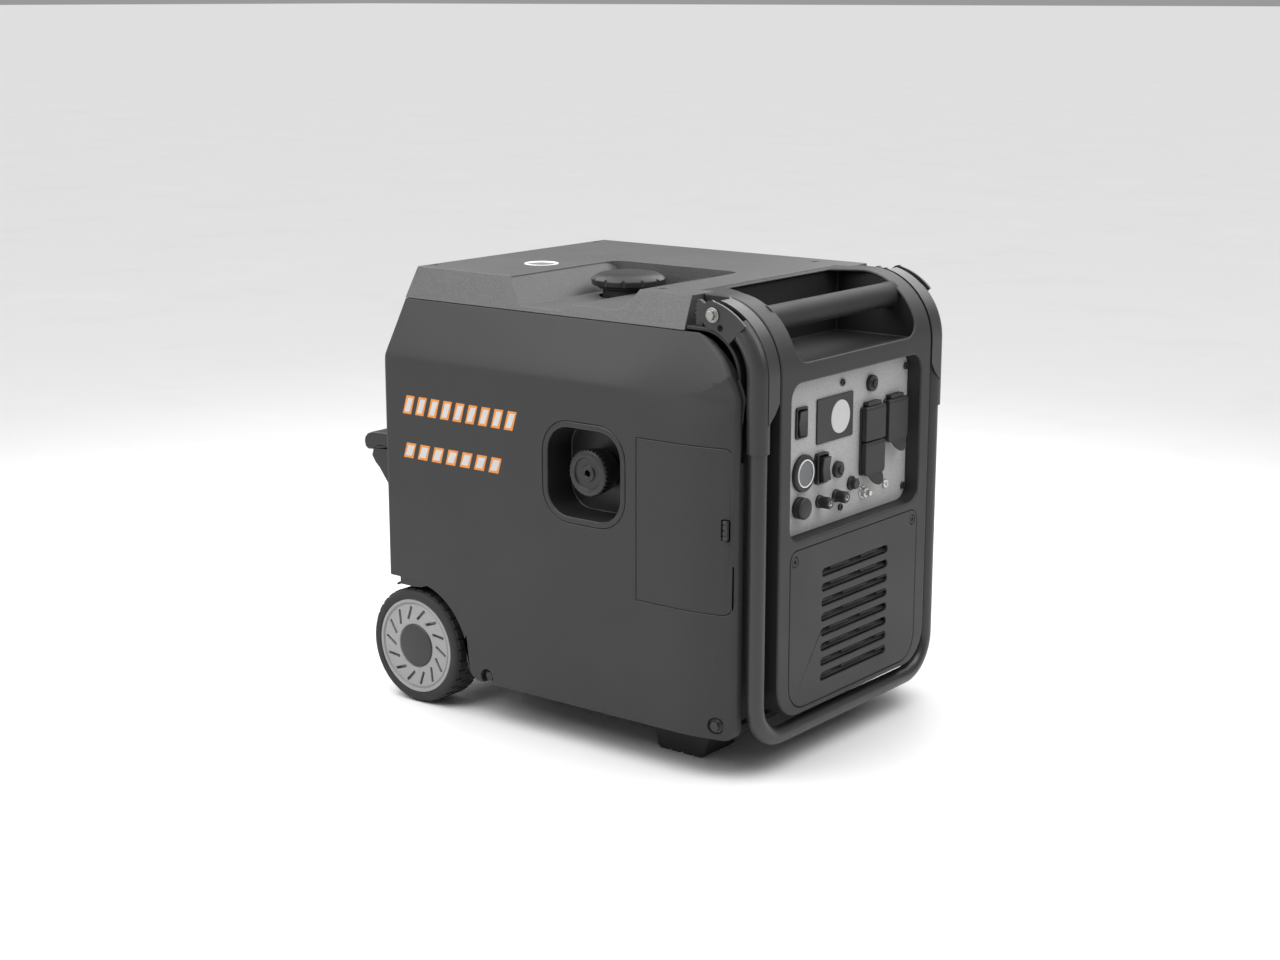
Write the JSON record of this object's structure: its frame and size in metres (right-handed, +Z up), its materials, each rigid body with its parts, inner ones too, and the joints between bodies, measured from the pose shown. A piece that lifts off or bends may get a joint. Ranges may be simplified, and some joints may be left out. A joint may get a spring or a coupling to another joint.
{
  "type": "inverter generator",
  "caption": "Closed-case inverter generator with a folding pull handle, two wheels, rope starter, fuel cap and a front control panel with sockets and switches.",
  "frame": {"origin": "on the floor, in the middle of the object's outline", "axes": "+X towards the control panel end, +Y towards the right side cover, +Z up"},
  "size_m": [0.571, 0.42, 0.5186],
  "materials": {
    "side_cover": "fine moulded texture, satin",
    "top_cover": "coarse moulded grain",
    "front_cover": "fine moulded texture",
    "black_plastic": "matt",
    "soft_black": "satin",
    "rubber": "matt",
    "black_steel": "satin black powder coat",
    "steel": "zinc plated",
    "control_plate": "light grey speckled",
    "aluminium": "cast",
    "tank": "moulded",
    "gauge": "gloss",
    "cap": "satin",
    "terminal": "gloss",
    "tyre": "matt rubber",
    "rim": "satin light grey"
  },
  "bodies": {
    "case": {"base_tray": "black_plastic", "rubber_feet": "rubber", "wheel_axle": "steel", "front_bulkhead": "black_plastic", "hand_well": "black_plastic", "front_cover": "front_cover", "carry_grip": "black_plastic", "left_side_cover": "side_cover", "right_side_cover": "side_cover", "top_cover": "top_cover", "rear_cover": "front_cover", "rear_handle": "black_plastic", "control_plate": "control_plate", "vent_panel": "front_cover", "cover_screws": "black_steel", "side_bolts": "steel", "recoil_bezel": "black_plastic", "fuel_tank": "tank", "fuel_gauge": "gauge", "engine_block": "aluminium", "engine_mounts": "rubber", "muffler": "steel", "alternator": "aluminium", "inverter_module": "aluminium", "air_cleaner": "black_plastic", "battery": "black_plastic", "recoil_housing": "tank", "display_bezel": "black_plastic", "display_face": "gauge", "switch_bezels": "black_plastic", "parallel_sockets": "terminal", "dc_socket": "black_plastic", "fuse_knob": "black_plastic", "duplex_outlet": "black_plastic", "single_outlet": "black_plastic", "ground_terminal": "steel", "pivot_bolts": "steel", "lock_quadrants": "steel"},
    "pull_handle": {"handle_tube": "black_steel", "left_arm": "black_steel", "right_arm": "black_steel"},
    "left_wheel": {"left_tyre": "tyre", "left_rim": "rim"},
    "right_wheel": {"right_tyre": "tyre", "right_rim": "rim"},
    "cap_lift": {"cap_gasket": "rubber"},
    "fuel_cap": {"fuel_cap": "cap"},
    "access_door": {"access_door": "side_cover"},
    "door_latch": {"door_latch": "black_plastic"},
    "recoil_grip": {"recoil_grip": "cap"},
    "starter_reel": {"starter_reel": "tank"},
    "start_button": {"start_button": "cap"},
    "reset_upper": {"reset_button_upper": "soft_black"},
    "reset_lower": {"reset_button_lower": "soft_black"},
    "economy_rocker": {"economy_rocker": "cap"},
    "breaker_rocker": {"breaker_rocker": "cap"},
    "flap_upper": {"duplex_flap_upper": "soft_black"},
    "flap_lower": {"duplex_flap_lower": "soft_black"},
    "flap_single": {"single_flap": "soft_black"},
    "dc_cap": {"dc_cap": "soft_black"}
  },
  "joints": [
    {"name": "handle_swing", "type": "hinge", "parent": "case", "child": "pull_handle", "pos_m": [0.222, 0, 0.502], "axis": [0, -1, 0], "range_deg": [0, 105]},
    {"name": "left_wheel_spin", "type": "hinge", "parent": "case", "child": "left_wheel", "pos_m": [-0.1954, -0.186, 0.07], "axis": [0, 1, 0], "continuous": true},
    {"name": "right_wheel_spin", "type": "hinge", "parent": "case", "child": "right_wheel", "pos_m": [-0.1954, 0.186, 0.07], "axis": [0, 1, 0], "continuous": true},
    {"name": "cap_pull", "type": "slide", "parent": "case", "child": "cap_lift", "axis": [0, 0, 1], "range_m": [0, 0.06]},
    {"name": "cap_turn", "type": "hinge", "parent": "cap_lift", "child": "fuel_cap", "pos_m": [-0.004, -0.041, 0.5], "axis": [0, 0, 1], "range_deg": [0, 90]},
    {"name": "door_swing", "type": "hinge", "parent": "case", "child": "access_door", "pos_m": [0.1384, -0.21, 0.276], "axis": [0, 0, -1], "range_deg": [0, 100]},
    {"name": "latch_slide", "type": "slide", "parent": "access_door", "child": "door_latch", "axis": [-1, 0, 0], "range_m": [0, 0.0022], "stiffness_N_per_m": 200},
    {"name": "recoil_pull", "type": "slide", "parent": "case", "child": "recoil_grip", "axis": [0, -1, 0], "range_m": [0, 0.15], "stiffness_N_per_m": 30},
    {"name": "reel_turn", "type": "hinge", "parent": "case", "child": "starter_reel", "pos_m": [0.0655, 0.025, 0.255], "axis": [1, 0, 0], "range_deg": [0, 145]},
    {"name": "start_press", "type": "slide", "parent": "case", "child": "start_button", "axis": [-1, 0, 0], "range_m": [0, 0.003], "stiffness_N_per_m": 300},
    {"name": "reset_upper_press", "type": "slide", "parent": "case", "child": "reset_upper", "axis": [-1, 0, 0], "range_m": [0, 0.002], "stiffness_N_per_m": 200},
    {"name": "reset_lower_press", "type": "slide", "parent": "case", "child": "reset_lower", "axis": [-1, 0, 0], "range_m": [0, 0.002], "stiffness_N_per_m": 200},
    {"name": "economy_rock", "type": "hinge", "parent": "case", "child": "economy_rocker", "pos_m": [0.2665, -0.0885, 0.3785], "axis": [0, 1, 0], "range_deg": [-8, 8]},
    {"name": "breaker_rock", "type": "hinge", "parent": "case", "child": "breaker_rocker", "pos_m": [0.2665, -0.05, 0.3225], "axis": [0, 1, 0], "range_deg": [-8, 8]},
    {"name": "flap_upper_swing", "type": "hinge", "parent": "case", "child": "flap_upper", "pos_m": [0.2741, 0.0505, 0.3744], "axis": [0, -1, 0], "range_deg": [0, 95], "stiffness_Nm_per_rad": 0.02, "springref_deg": -17.19},
    {"name": "flap_lower_swing", "type": "hinge", "parent": "case", "child": "flap_lower", "pos_m": [0.2741, 0.0505, 0.3341], "axis": [0, -1, 0], "range_deg": [0, 95], "stiffness_Nm_per_rad": 0.02, "springref_deg": -17.19},
    {"name": "flap_single_swing", "type": "hinge", "parent": "case", "child": "flap_single", "pos_m": [0.2741, 0.0986, 0.3759], "axis": [0, -1, 0], "range_deg": [0, 95], "stiffness_Nm_per_rad": 0.02, "springref_deg": -17.19},
    {"name": "dc_cap_pull", "type": "slide", "parent": "case", "child": "dc_cap", "axis": [1, 0, 0], "range_m": [0, 0.03]}
  ],
  "couplings": [
    {"joint": "reel_turn", "follows": "recoil_pull", "rad_per_m": 16.667}
  ]
}
